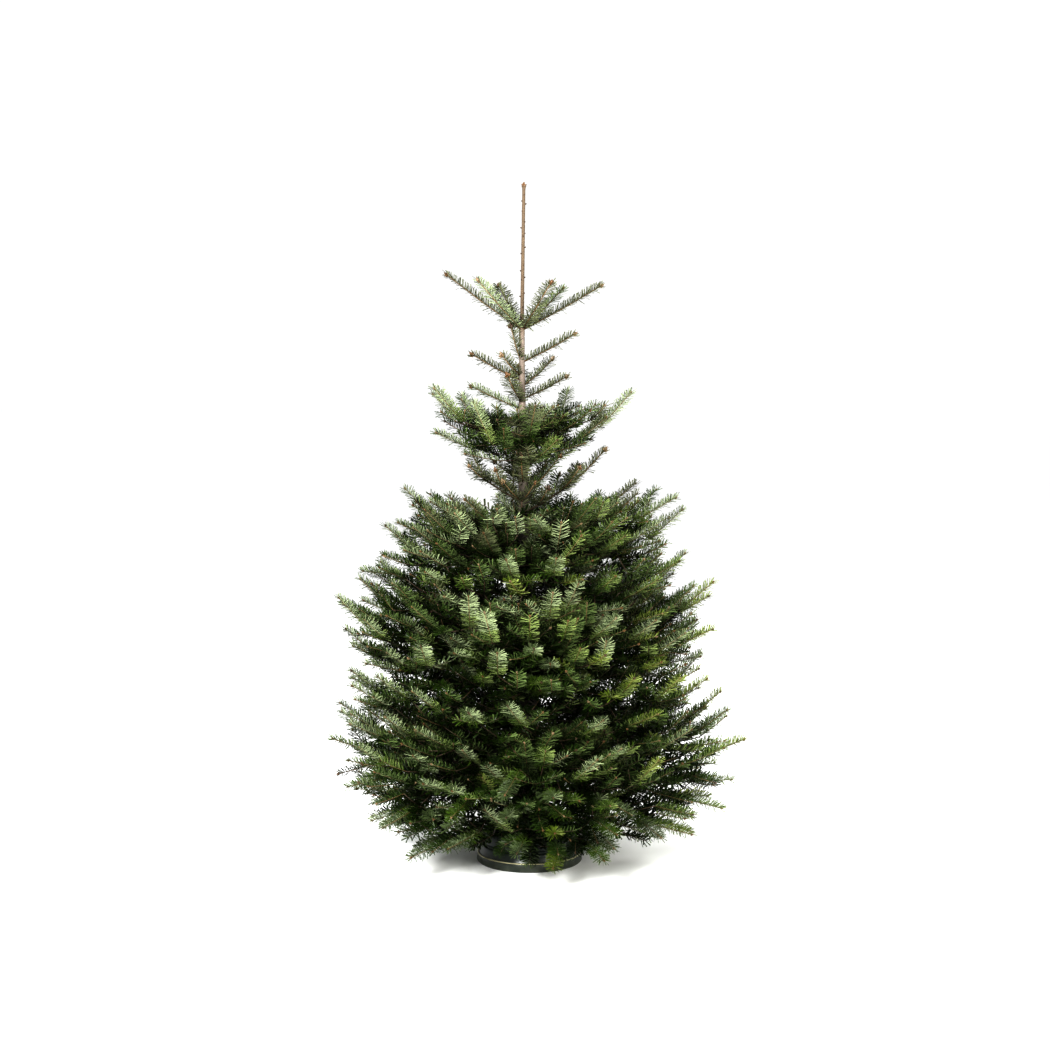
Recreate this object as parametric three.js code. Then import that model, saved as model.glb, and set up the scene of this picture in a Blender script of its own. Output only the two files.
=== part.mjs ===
// A cut fir of about two metres, undecorated, held in a round bell-shaped stand.
// Millimetres, +Z up. The origin is the centre of the stand's flat underside, the front is -Y
// and +X is on the right of someone who looks at the front.
import * as THREE from "three";

// ---- Driving dimensions -------------------------------------------------------------------

const GAP = 0.4; // between pieces that touch
const MASS_GAP = 7; // between neighbouring masses of foliage

// The stand: a glossy bell with a water well in it, and claws that grip the trunk.
const STAND_RADIUS = 155;
const STAND_HEIGHT = 150;
const STAND_SEGMENTS = 28;
const BAND_HEIGHT = 24; // upright band round the foot
const WELL_RADIUS = 66;
const WELL_FLOOR = 14;
const CLAW_COUNT = 4;
const CLAW_WIDTH = 16;
const CLAW_GRIP_HEIGHT = 192;

// The trunk: height and radius of the wood at the foot, at each whorl and at the tip.
const TRUNK_FOOT = WELL_FLOOR + GAP;
const TREE_HEIGHT = 1980;
const TRUNK_STATIONS = [
  [TRUNK_FOOT, 34],
  [312, 29],
  [586, 24.5],
  [903, 19],
  [1255, 12],
  [1335, 9.3],
  [1540, 8.3],
  [1575, 5.8],
  [1940, 4.9],
];
const TRUNK_SIDES = 10;
const TRUNK_LEAN = -22; // sideways, reached at the top whorl
const TRUNK_SWAY = 5; // fore and aft
const SWAY_PACE = 420; // height of trunk to a radian of sway
const LEADER_RETURN = 6; // the leader comes back this far
const WHORL_SWELLING = 0.16; // share of the radius
const SWELLING_SPREAD = 22; // above and below the whorl
const WHORL_RING_SPACING = 26;
const WHORL_STAGGER = 6; // neighbouring boughs leave a whorl this far above and below it
const TIP_BUD_RADIUS = 7.5;

// The top whorl and the single shoots between it and the next: unbranched, one year old.
const TOP_WHORL = 1550;
const SHOOT_HALF_WIDTH = 27;
const SHOOT_FLATNESS = 0.72;
const TOP_SHOOTS = [
  { azimuth: 2, length: 268, rise: 30 },
  { azimuth: 48, length: 228, rise: 36 },
  { azimuth: 112, length: 236, rise: 38 },
  { azimuth: 179, length: 275, rise: 37 },
  { azimuth: 228, length: 232, rise: 37 },
  { azimuth: 297, length: 226, rise: 36 },
];
const SIDE_SHOOTS = [
  { azimuth: -6, length: 178, rise: 29, height: 1458 },
  { azimuth: 186, length: 168, rise: 29, height: 1404 },
  { azimuth: 24, length: 160, rise: 26, height: 1352 },
  { azimuth: 164, length: 172, rise: 24, height: 1324 },
];

// The tiers of foliage, from the top down. Each has one bough to a mass; lower and upper are
// the profiles that the tier lies between, as [distance from the trunk, height].
const TIERS = [
  {
    name: "tier2",
    whorl: 1255,
    azimuths: [350, 62, 134, 203, 276],
    reaches: [312, 285, 296, 306, 280],
    inner: 38,
    boughRadii: [6.5, 4.5],
    lower: [[38, 1215], [120, 1176], [210, 1168], [310, 1250]],
    upper: [[38, 1301], [150, 1342], [310, 1392]],
    pointed: 0.9,
  },
  {
    name: "tier3",
    whorl: 903,
    azimuths: [12, 86, 162, 232, 304],
    reaches: [482, 428, 418, 424, 432],
    inner: 78,
    boughRadii: [9.5, 7],
    lower: [[78, 800], [300, 850], [480, 906]],
    upper: [[78, 1012], [250, 1078], [400, 1106], [480, 1062]],
    pointed: 0.75,
  },
  {
    name: "tier4",
    whorl: 586,
    azimuths: [356, 62, 130, 192, 272],
    reaches: [556, 535, 548, 562, 540],
    inner: 108,
    boughRadii: [12.5, 9.5],
    lower: [[108, 458], [300, 500], [560, 566]],
    upper: [[108, 784], [300, 832], [560, 884]],
    pointed: 0.62,
  },
  {
    name: "tier5",
    whorl: 312,
    azimuths: [352, 52, 112, 174, 222, 278],
    reaches: [622, 592, 584, 596, 590, 566],
    inner: 128,
    boughRadii: [11.5, 10],
    lower: [[128, 196], [190, 150], [270, 62], [350, 34], [450, 40], [560, 118], [620, 190]],
    upper: [[128, 436], [300, 478], [620, 550]],
    pointed: 0.55,
  },
];
const MASS_SEGMENTS = 12;
const MASS_RINGS = 12;
const MASS_SQUARENESS = 0.6; // 1 gives round sections, less gives fuller corners
const INNER_BLUNTNESS = 0.3; // 0 would end a mass in a flat wall towards the trunk
const LUMP_DEPTH = 0.14; // broad hollows, as a share of the half width
const SPRAY_DEPTH = 0.22; // how far the mass falls back between the tips of its sprays
const SPRAY_SWEEP = 22; // and how far they stand out of its outer end
const SIDE_FALL = 0.1; // how far the rim falls back towards a mass's two sides
const LOW_FALL = 0.07; // and towards its underside

// ---- Finishes -----------------------------------------------------------------------------

const finish = (color, roughness, metalness = 0) =>
  new THREE.MeshStandardMaterial({ color, roughness, metalness });

const needles = finish(0x44542f, 0.62);
const bark = finish(0x6f6250, 0.9);
const glossyPlastic = finish(0x141d1a, 0.28);
const paleTrim = finish(0xb9b48c, 0.35, 0.3);
const clawSteel = finish(0x4c5150, 0.45, 0.8);

const tree = new THREE.Group();

function addPiece(name, geometry, material) {
  const mesh = new THREE.Mesh(geometry, material);
  mesh.name = name;
  tree.add(mesh);
  return mesh;
}

// ---- Shaping helpers ----------------------------------------------------------------------

const radians = THREE.MathUtils.degToRad;

// A number from a profile of [place, value] points, straight between them.
function valueAt(profile, place) {
  const next = profile.findIndex(([p]) => p > place);
  if (next === 0) return profile[0][1];
  if (next < 0) return profile[profile.length - 1][1];
  const [from, to] = [profile[next - 1], profile[next]];
  return THREE.MathUtils.mapLinear(place, from[0], to[0], from[1], to[1]);
}

// Moves every vertex of a unit shape to the place that the function gives it.
function reshape(geometry, place) {
  const positions = geometry.attributes.position;
  const point = new THREE.Vector3();
  for (let i = 0; i < positions.count; i++) {
    point.fromBufferAttribute(positions, i);
    positions.setXYZ(i, ...place(point).toArray());
  }
  geometry.computeVertexNormals();
  return geometry;
}

// A repeatable stream of numbers from 0 to 1.
function numbersFrom(seed) {
  let state = seed;
  return () => {
    state = (state * 16807) % 2147483647;
    return state / 2147483647;
  };
}

// Smooth lumps over the unit sphere, from -1 to 1, different for each stream.
function lumpsFrom(random) {
  const waves = [2.6, 3.4, 4.3].map((pace) => ({
    pace,
    phase: random() * 2 * Math.PI,
    way: new THREE.Vector3(random() - 0.5, random() - 0.5, random() - 0.5).normalize(),
  }));
  return (point) =>
    waves.reduce((sum, w) => sum + Math.sin(w.pace * w.way.dot(point) + w.phase), 0) / waves.length;
}

// A tapering round limb along a curve; reference is a direction across it.
function limbGeometry(curve, radiusAt, reference, sides, steps) {
  const across = new THREE.Vector3();
  const around = new THREE.Vector3();
  return reshape(new THREE.CylinderGeometry(1, 1, 1, sides, steps), (p) => {
    const share = p.y + 0.5;
    const along = curve.getTangent(share);
    across.copy(reference).addScaledVector(along, -reference.dot(along)).normalize();
    around.crossVectors(across, along);
    const radius = radiusAt(share);
    return curve
      .getPoint(share)
      .addScaledVector(across, p.x * radius)
      .addScaledVector(around, p.z * radius);
  });
}

// ---- Trunk --------------------------------------------------------------------------------
// One piece from its flat cut in the water well to the bud at the tip of the leader.

const whorlHeights = [TOP_WHORL, ...TIERS.map((tier) => tier.whorl)];

function trunkCentre(height) {
  const share = Math.min(height / TOP_WHORL, 1);
  const back = Math.max(0, height - TOP_WHORL) / (TREE_HEIGHT - TOP_WHORL);
  const x = TRUNK_LEAN * Math.sin((share * Math.PI) / 2) ** 2 + LEADER_RETURN * back;
  return new THREE.Vector3(x, TRUNK_SWAY * Math.sin(height / SWAY_PACE), height);
}

function trunkRadius(height) {
  const nearest = Math.min(...whorlHeights.map((whorl) => Math.abs(whorl - height)));
  const swelling = 1 + WHORL_SWELLING * Math.exp(-((nearest / SWELLING_SPREAD) ** 2));
  return valueAt(TRUNK_STATIONS, height) * swelling;
}

function makeTrunk() {
  const barkTop = TREE_HEIGHT - 22;
  const heights = [TRUNK_FOOT, 90, 170, 240];
  for (const whorl of whorlHeights)
    heights.push(whorl - WHORL_RING_SPACING, whorl, whorl + WHORL_RING_SPACING);
  heights.push(450, 745, 1075, 1160, 1430, 1500, 1680, 1800, 1900, barkTop);
  heights.sort((a, b) => a - b);
  const budRings = [
    [TREE_HEIGHT - 15, TIP_BUD_RADIUS],
    [TREE_HEIGHT - 6, TIP_BUD_RADIUS * 0.8],
    [TREE_HEIGHT, TIP_BUD_RADIUS * 0.3],
  ];
  const rings = [...heights.map((height) => [height, trunkRadius(height)]), ...budRings];
  const steps = rings.length - 1;
  const geometry = reshape(new THREE.CylinderGeometry(1, 1, 1, TRUNK_SIDES, steps), (p) => {
    const [height, radius] = rings[Math.round((p.y + 0.5) * steps)];
    // The unit cylinder stands along Y: turned up to Z, its faces still point outwards.
    return trunkCentre(height).add(new THREE.Vector3(p.x * radius, -p.z * radius, 0));
  });
  addPiece("trunk", geometry, bark);
}

// ---- Single shoots ------------------------------------------------------------------------
// A slender spindle of needles round each unbranched shoot.

function addShoot(name, height, { azimuth, length, rise }) {
  const turn = radians(azimuth);
  const slope = radians(rise);
  const outwards = new THREE.Vector3(Math.cos(turn), Math.sin(turn), 0);
  const axis = outwards.clone().multiplyScalar(Math.cos(slope)).setZ(Math.sin(slope));
  const sideways = new THREE.Vector3(Math.sin(turn), -Math.cos(turn), 0);
  const upwards = new THREE.Vector3().crossVectors(sideways, axis);
  const start = (trunkRadius(height) + GAP) / Math.cos(slope) + 2;
  const origin = trunkCentre(height);
  const geometry = reshape(new THREE.SphereGeometry(1, 8, 7), (p) => {
    const share = (1 + p.y) / 2;
    const ring = Math.hypot(p.x, p.z);
    const along = start + (length - start) * share;
    // Full width only where the needles have room between neighbouring shoots.
    const width = Math.min(SHOOT_HALF_WIDTH, 0.34 * along) * (ring > 0 ? ring ** -0.45 : 0);
    return origin
      .clone()
      .addScaledVector(axis, along)
      .addScaledVector(sideways, p.x * width)
      .addScaledVector(upwards, p.z * width * SHOOT_FLATNESS);
  });
  addPiece(name, geometry, needles);
}

// ---- Tiers: boughs and masses of foliage --------------------------------------------------

const middleOf = (tier, distance) =>
  (valueAt(tier.lower, distance) + valueAt(tier.upper, distance)) / 2;

const roundTo = (value, power) => Math.sign(value) * Math.abs(value) ** power;

// One bough, square to the trunk where it leaves it and level where its needles begin.
function addBough(name, tier, azimuth, offset) {
  const turn = radians(azimuth);
  const foot = tier.whorl + offset;
  const outwards = new THREE.Vector3(Math.cos(turn), Math.sin(turn), 0);
  const place = (distance, height) => trunkCentre(height).addScaledVector(outwards, distance);
  const start = trunkRadius(tier.whorl) + GAP;
  const end = tier.inner - GAP;
  const height = middleOf(tier, tier.inner);
  const curve = new THREE.CubicBezierCurve3(
    place(start, foot),
    place(start + 0.4 * (end - start), foot),
    place(end - 0.3 * (end - start), height),
    place(end, height),
  );
  const [rootRadius, endRadius] = tier.boughRadii;
  const radiusAt = (share) =>
    THREE.MathUtils.lerp(rootRadius, endRadius, share) * (1 + 0.18 * (1 - share) ** 4);
  const up = new THREE.Vector3(0, 0, 1);
  addPiece(name, limbGeometry(curve, radiusAt, up, 6, 3), bark);
}

// One mass: a sector of the tier, lumpy, with the tips of its sprays standing out all over it.
function addMass(name, tier, azimuth, halfBefore, halfAfter, reach, random) {
  const lump = lumpsFrom(random);
  const depth = lumpsFrom(random);
  const geometry = reshape(new THREE.SphereGeometry(1, MASS_SEGMENTS, MASS_RINGS), (p) => {
    const ring = Math.hypot(p.x, p.z);
    const across = ring > 0 ? p.x / ring : 0;
    const up = ring > 0 ? p.z / ring : 0;
    // Every second vertex, round the section and along the mass, is the tip of a spray.
    const column = Math.round((Math.atan2(p.z, p.x) / (2 * Math.PI)) * MASS_SEGMENTS);
    const row = Math.round((Math.acos(p.y) / Math.PI) * MASS_RINGS);
    const isTip = (column + row) % 2 === 0;
    const hollow = isTip ? 0 : SPRAY_DEPTH * (1 + 0.5 * depth(p));
    const filled = (1 - hollow) * (1 - LUMP_DEPTH * (0.5 - 0.5 * lump(p)));
    const size = ring ** (p.y > 0 ? tier.pointed : INNER_BLUNTNESS) * filled;
    const squareness = THREE.MathUtils.lerp(1, MASS_SQUARENESS, ring);
    const side = roundTo(across, squareness) * size;
    const level = roundTo(up, squareness) * size;
    const rim = reach * (1 - SIDE_FALL * side ** 2 - LOW_FALL * Math.min(0, level) ** 2);
    const sweep = SPRAY_SWEEP * (isTip ? 1 : -1) * Math.max(0, p.y);
    const span = rim - SPRAY_SWEEP - tier.inner;
    const distance = tier.inner + span * ((1 + p.y) / 2) + sweep;
    const half = radians(side > 0 ? halfBefore : halfAfter) - MASS_GAP / 2 / distance;
    const turn = radians(azimuth) - side * half;
    const low = valueAt(tier.lower, distance) + MASS_GAP / 2;
    const high = valueAt(tier.upper, distance) - MASS_GAP / 2;
    const height = (low + high) / 2 + (level * (high - low)) / 2;
    const outwards = new THREE.Vector3(Math.cos(turn), Math.sin(turn), 0);
    return trunkCentre(height).addScaledVector(outwards, distance);
  });
  addPiece(name, geometry, needles);
}

function makeTier(tier, seed) {
  const random = numbersFrom(seed);
  const count = tier.azimuths.length;
  tier.azimuths.forEach((azimuth, i) => {
    const before = tier.azimuths[(i + count - 1) % count];
    const after = tier.azimuths[(i + 1) % count];
    const halfBefore = ((azimuth - before + 360) % 360) / 2;
    const halfAfter = ((after - azimuth + 360) % 360) / 2;
    const offset = i % 2 ? WHORL_STAGGER : -WHORL_STAGGER;
    addBough(`${tier.name}_bough_${i + 1}`, tier, azimuth, offset);
    addMass(
      `${tier.name}_mass_${i + 1}`, tier, azimuth, halfBefore, halfAfter, tier.reaches[i], random,
    );
  });
}

// ---- Stand --------------------------------------------------------------------------------

const profile = (points) => points.map(([x, y]) => new THREE.Vector2(x, y));

// A turned piece: LatheGeometry spins about Y, so it is stood up onto Z.
function turned(points) {
  return new THREE.LatheGeometry(profile(points), STAND_SEGMENTS).rotateX(Math.PI / 2);
}

function makeStand() {
  const dome = [];
  for (let i = 0; i <= 6; i++) {
    const angle = (i / 6) * radians(72);
    dome.push([78 + 60 * Math.cos(angle), 62 + 88 * Math.sin(angle)]);
  }
  const bell = [
    [0, 0],
    [STAND_RADIUS - 4, 0],
    [STAND_RADIUS, 4],
    [STAND_RADIUS - 1, BAND_HEIGHT],
    [STAND_RADIUS - 6, BAND_HEIGHT],
    [STAND_RADIUS - 8, BAND_HEIGHT + 4],
    [STAND_RADIUS - 13, 52],
    [STAND_RADIUS - 17, 56],
    ...dome,
    [WELL_RADIUS + 10, STAND_HEIGHT],
    [WELL_RADIUS, STAND_HEIGHT - 3],
    [WELL_RADIUS - 6, WELL_FLOOR + 8],
    [WELL_RADIUS - 14, WELL_FLOOR],
    [0, WELL_FLOOR],
  ];
  addPiece("stand_bell", turned(bell), glossyPlastic);

  // The trim ring lies on the shoulder above the band.
  const ringInner = STAND_RADIUS - 6 + GAP;
  const ringOuter = STAND_RADIUS - 1.5;
  const ring = [
    [ringInner, BAND_HEIGHT + GAP],
    [ringOuter, BAND_HEIGHT + GAP],
    [ringOuter - 1.2, BAND_HEIGHT + 3],
    [ringInner, BAND_HEIGHT + 3],
    [ringInner, BAND_HEIGHT + GAP],
  ];
  addPiece("stand_trim_ring", turned(ring), paleTrim);

  const collar = [
    [WELL_RADIUS + 1, STAND_HEIGHT + GAP],
    [WELL_RADIUS + 12, STAND_HEIGHT + GAP],
    [WELL_RADIUS + 10, STAND_HEIGHT + 9],
    [WELL_RADIUS + 1, STAND_HEIGHT + 11],
    [WELL_RADIUS + 1, STAND_HEIGHT + GAP],
  ];
  addPiece("stand_collar", turned(collar), glossyPlastic);

  // Each claw hangs from the collar's inner edge and leans in on the trunk.
  const gripRadius = trunkRadius(CLAW_GRIP_HEIGHT) + 2;
  const collarTop = STAND_HEIGHT + 11;
  const outline = new THREE.Shape(
    profile([
      [gripRadius, CLAW_GRIP_HEIGHT - 14],
      [gripRadius + 6, CLAW_GRIP_HEIGHT - 18],
      [WELL_RADIUS - 6, STAND_HEIGHT - 12],
      [WELL_RADIUS - 1, STAND_HEIGHT - 10],
      [WELL_RADIUS - 1, collarTop + 1],
      [gripRadius + 12, CLAW_GRIP_HEIGHT + 4],
      [gripRadius, CLAW_GRIP_HEIGHT + 6],
    ]),
  );
  for (let i = 0; i < CLAW_COUNT; i++) {
    const geometry = new THREE.ExtrudeGeometry(outline, { depth: CLAW_WIDTH, bevelEnabled: false })
      .translate(0, 0, -CLAW_WIDTH / 2)
      .rotateX(Math.PI / 2);
    const claw = addPiece(`stand_claw_${i + 1}`, geometry, clawSteel);
    claw.rotation.z = ((i + 0.5) / CLAW_COUNT) * 2 * Math.PI;
  }
}

// ---- Assembly -----------------------------------------------------------------------------

makeStand();
makeTrunk();
TOP_SHOOTS.forEach((shoot, i) => addShoot(`top_shoot_${i + 1}`, TOP_WHORL, shoot));
SIDE_SHOOTS.forEach((shoot, i) => addShoot(`side_shoot_${i + 1}`, shoot.height, shoot));
TIERS.forEach((tier, i) => makeTier(tier, 4711 + 97 * i));

export default tree;
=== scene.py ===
import math

import bpy
import numpy as np
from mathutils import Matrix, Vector, noise as mathnoise
from mathutils.bvhtree import BVHTree


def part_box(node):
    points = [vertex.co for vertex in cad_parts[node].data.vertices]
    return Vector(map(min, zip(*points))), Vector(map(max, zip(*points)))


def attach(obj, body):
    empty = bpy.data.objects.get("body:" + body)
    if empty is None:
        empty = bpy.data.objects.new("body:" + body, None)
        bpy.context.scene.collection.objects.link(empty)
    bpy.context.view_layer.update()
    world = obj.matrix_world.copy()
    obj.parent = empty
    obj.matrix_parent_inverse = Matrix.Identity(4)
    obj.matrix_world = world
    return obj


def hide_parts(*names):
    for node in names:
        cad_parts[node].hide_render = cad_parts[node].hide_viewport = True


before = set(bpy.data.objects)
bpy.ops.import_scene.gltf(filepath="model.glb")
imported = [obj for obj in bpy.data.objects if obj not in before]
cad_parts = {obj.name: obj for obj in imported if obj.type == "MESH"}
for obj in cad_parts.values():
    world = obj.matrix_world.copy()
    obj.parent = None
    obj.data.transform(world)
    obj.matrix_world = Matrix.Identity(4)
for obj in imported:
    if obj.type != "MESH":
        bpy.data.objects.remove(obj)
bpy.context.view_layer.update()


# ---- Stand bell ---------------------------------------------------------------------------
# The stand is one glossy blackish green moulding: an upright band round the foot, a shoulder
# that carries the pale trim line, a ribbed dome and a rolled lip round the open water well.
# It is turned here as the mould is: one circle drawn up through the profile ring by ring.
_, bell_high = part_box("stand_bell")
bell_radius = bell_high.x
bell_top = bell_high.z
POLE_RADIUS = 1e-4
POLE_MERGE = 2e-4
SEAM_MERGE = 1e-5


def clear_selection():
    if bpy.context.object and bpy.context.object.mode == "EDIT":
        bpy.ops.object.mode_set(mode="OBJECT")
    bpy.ops.object.select_all(action="DESELECT")


def turn_up(name, profile, merge=POLE_MERGE):
    """A turned piece: a circle extruded through (radius, height) stations about +Z."""
    clear_selection()
    radius, height = profile[0]
    bpy.ops.mesh.primitive_circle_add(
        vertices=112, radius=max(radius, POLE_RADIUS), location=(0, 0, height)
    )
    piece = bpy.context.object
    piece.name = piece.data.name = name
    bpy.ops.object.transform_apply(location=True, rotation=True, scale=True)
    bpy.ops.object.mode_set(mode="EDIT")
    bpy.ops.mesh.select_all(action="SELECT")
    for next_radius, next_height in profile[1:]:
        bpy.ops.mesh.extrude_region_move(
            TRANSFORM_OT_translate={"value": (0, 0, next_height - height)}
        )
        share = max(next_radius, POLE_RADIUS) / max(radius, POLE_RADIUS)
        bpy.ops.transform.resize(value=(share, share, 1), center_override=(0, 0, next_height))
        radius, height = next_radius, next_height
    bpy.ops.mesh.select_all(action="SELECT")
    bpy.ops.mesh.remove_doubles(threshold=merge)
    bpy.ops.mesh.normals_make_consistent(inside=False)
    bpy.ops.object.mode_set(mode="OBJECT")
    return piece


def finish_edges(piece, width):
    """Rounds the moulded edges and smooths the faces between them."""
    clear_selection()
    piece.select_set(True)
    bpy.context.view_layer.objects.active = piece
    bevel = piece.modifiers.new("rounded edges", "BEVEL")
    bevel.width = width
    bevel.segments = 2
    bevel.limit_method = "ANGLE"
    bevel.angle_limit = math.radians(28)
    bpy.ops.object.modifier_apply(modifier=bevel.name)
    bpy.ops.object.shade_smooth_by_angle(angle=math.radians(40))


class Shade:
    """A node socket that can be added to, multiplied and mixed like a number."""

    def __init__(self, tree, socket):
        self.tree = tree
        self.socket = socket

    def node(self, kind, settings=None, **inputs):
        """A new node; inputs are named by their sockets, or i0, i1 and so on by their order."""
        made = self.tree.nodes.new(kind)
        for key, value in (settings or {}).items():
            setattr(made, key, value)
        for key, value in inputs.items():
            socket = made.inputs[int(key[1:])] if key[0] == "i" and key[1:].isdigit() \
                else made.inputs[key.replace("_", " ")]
            if isinstance(value, Shade):
                self.tree.links.new(value.socket, socket)
            else:
                socket.default_value = value
        return made

    def wrap(self, socket):
        return Shade(self.tree, socket)

    def math(self, operation, *values):
        inputs = {f"i{i}": value for i, value in enumerate(values)}
        return self.wrap(self.node("ShaderNodeMath", {"operation": operation}, **inputs).outputs[0])

    def __add__(self, other):
        return self.math("ADD", self, other)

    __radd__ = __add__

    def __mul__(self, other):
        return self.math("MULTIPLY", self, other)

    __rmul__ = __mul__

    def __sub__(self, other):
        return self.math("SUBTRACT", self, other)

    def __rsub__(self, other):
        return self.math("SUBTRACT", other, self)

    def clamp(self):
        """This value kept between 0 and 1."""
        made = self.node("ShaderNodeMath", {"operation": "ADD", "use_clamp": True}, i0=self, i1=0.0)
        return self.wrap(made.outputs[0])

    def blend(self, low, high):
        """The colour low where this value is 0 and high where it is 1."""
        made = self.node("ShaderNodeMix", {"data_type": "RGBA"}, i0=self)
        for value, socket in ((low, made.inputs[6]), (high, made.inputs[7])):
            if isinstance(value, Shade):
                self.tree.links.new(value.socket, socket)
            else:
                socket.default_value = (*value, 1)
        return self.wrap(made.outputs[2])


def new_material(name, colour=(0.5, 0.5, 0.5), roughness=0.5, metallic=0.0):
    """A material with one Principled shader; returns both."""
    material = bpy.data.materials.new(name)
    material.use_nodes = True
    shader = material.node_tree.nodes["Principled BSDF"]
    shader.inputs["Base Color"].default_value = (*colour, 1)
    shader.inputs["Roughness"].default_value = roughness
    shader.inputs["Metallic"].default_value = metallic
    material.diffuse_color = (*colour, 1)
    return material, shader


def object_place(material):
    tree = material.node_tree
    return Shade(tree, tree.nodes.new("ShaderNodeTexCoord").outputs["Object"])


def height_in(place):
    return place.wrap(place.node("ShaderNodeSeparateXYZ", None, Vector=place).outputs["Z"])


def noise(place, scale, detail=3.0, rough=0.55):
    made = place.node(
        "ShaderNodeTexNoise", None, Vector=place, Scale=scale, Detail=detail, Roughness=rough
    )
    return place.wrap(made.outputs["Fac"])


def stretched(place, factors):
    made = place.node("ShaderNodeMapping", None, Vector=place, Scale=factors)
    return place.wrap(made.outputs[0])


def feed(shader, material, **sockets):
    for key, value in sockets.items():
        material.node_tree.links.new(value.socket, shader.inputs[key.replace("_", " ")])


def bump(height, strength, distance):
    made = height.node(
        "ShaderNodeBump", None, Height=height, Strength=strength, Distance=distance
    )
    return height.wrap(made.outputs[0])


def moulded_plastic():
    material, shader = new_material("blackish green moulded plastic")
    place = object_place(material)
    cloud = noise(place, 9.0)
    dust = noise(place, 60.0, 4.0) * noise(place, 14.0)
    scuffs = noise(stretched(place, (30.0, 30.0, 240.0)), 4.0, 6.0, 0.7)
    low_down = (1 - height_in(place) * 22.0).clamp()
    base = cloud.blend((0.006, 0.011, 0.009), (0.014, 0.022, 0.017))
    worn = (low_down * dust * 2.2).clamp().blend(base, (0.07, 0.075, 0.055))
    feed(
        shader, material,
        Base_Color=worn,
        Roughness=0.2 + 0.14 * cloud + 0.12 * scuffs,
        Normal=bump(scuffs, 0.06, 0.0004),
    )
    shader.inputs["Specular IOR Level"].default_value = 0.35
    return material


band = 0.024
dome_foot = 0.078, 0.062
dome_reach = 0.060
dome_rise = 0.088
dome = [
    (dome_foot[0] + dome_reach * math.cos(a), dome_foot[1] + dome_rise * math.sin(a))
    for a in np.linspace(0, math.radians(72), 14)
]
well_floor = 0.014
bell_profile = [
    (0.0, 0.0),
    (bell_radius - 0.010, 0.0),
    (bell_radius - 0.004, 0.0),
    (bell_radius, 0.004),
    (bell_radius - 0.0005, 0.013),
    (bell_radius - 0.001, band),
    (bell_radius - 0.006, band),
    (bell_radius - 0.008, band + 0.004),
    (bell_radius - 0.0115, 0.042),
    (bell_radius - 0.013, 0.050),
    (bell_radius - 0.0160, 0.0515),
    (bell_radius - 0.0160, 0.0535),
    (bell_radius - 0.0145, 0.056),
    (bell_radius - 0.017, 0.060),
    *dome,
    (0.088, 0.1475),
    (0.078, bell_top),
    (0.070, bell_top),
    (0.066, bell_top - 0.003),
    (0.063, 0.080),
    (0.060, 0.022),
    (0.052, well_floor),
    (0.0, well_floor),
]
bell = turn_up("stand_bell_moulding", bell_profile)
finish_edges(bell, 0.0009)
plastic = moulded_plastic()
bell.data.materials.append(plastic)
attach(bell, "root")
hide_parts("stand_bell")


# ---- Trim line and collar -----------------------------------------------------------------
# A thin pale gold ring is pressed into the shoulder of the foot, and a black collar with a
# rounded top closes the rim of the well and carries the claws.
def pale_gold():
    material, shader = new_material("pale gold trim", (0.46, 0.43, 0.27), 0.32, 0.25)
    place = object_place(material)
    worn = noise(place, 34.0, 4.0)
    feed(
        shader, material,
        Base_Color=worn.blend((0.33, 0.31, 0.19), (0.58, 0.55, 0.38)),
        Roughness=0.25 + 0.2 * worn,
    )
    return material


trim_low, trim_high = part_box("stand_trim_ring")
trim_inner = bell_radius - 0.0056
trim_profile = [
    (trim_inner, trim_low.z),
    (trim_high.x, trim_low.z),
    (trim_high.x + 0.0004, (trim_low.z + trim_high.z) / 2),
    (trim_high.x - 0.0008, trim_high.z),
    (trim_inner, trim_high.z),
    (trim_inner, trim_low.z),
]
trim = turn_up("stand_trim_line", trim_profile, SEAM_MERGE)
finish_edges(trim, 0.0003)
trim.data.materials.append(pale_gold())
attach(trim, "root")
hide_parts("stand_trim_ring")

collar_low, collar_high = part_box("stand_collar")
collar_inner = 0.067
collar_profile = [
    (collar_inner, collar_low.z),
    (0.078, collar_low.z),
    (0.079, collar_low.z + 0.003),
    (0.077, collar_high.z - 0.002),
    (0.073, collar_high.z),
    (collar_inner, collar_high.z),
    (collar_inner, collar_low.z),
]
collar = turn_up("stand_well_collar", collar_profile, SEAM_MERGE)
finish_edges(collar, 0.0008)
collar.data.materials.append(plastic)
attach(collar, "root")
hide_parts("stand_collar")


# ---- Claws --------------------------------------------------------------------------------
# Pressed steel levers, coated grey, hinge on the collar's inner edge and lean in on the wood.
# Their flanks are pressed in, and their coat is rubbed bright at the end that grips.
GRIP_HEIGHT = 0.182
FLANK_AREA = 2.5e-4


def coated_steel():
    material, shader = new_material("grey coated steel", (0.16, 0.17, 0.17), 0.45, 0.8)
    place = object_place(material)
    grain = noise(place, 130.0, 5.0)
    rubbed = ((height_in(place) - GRIP_HEIGHT) * 90.0 * grain).clamp()
    feed(
        shader, material,
        Base_Color=rubbed.blend((0.09, 0.1, 0.1), (0.5, 0.5, 0.48)),
        Roughness=0.36 + 0.3 * grain,
        Normal=bump(grain, 0.12, 0.0003),
    )
    return material


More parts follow.
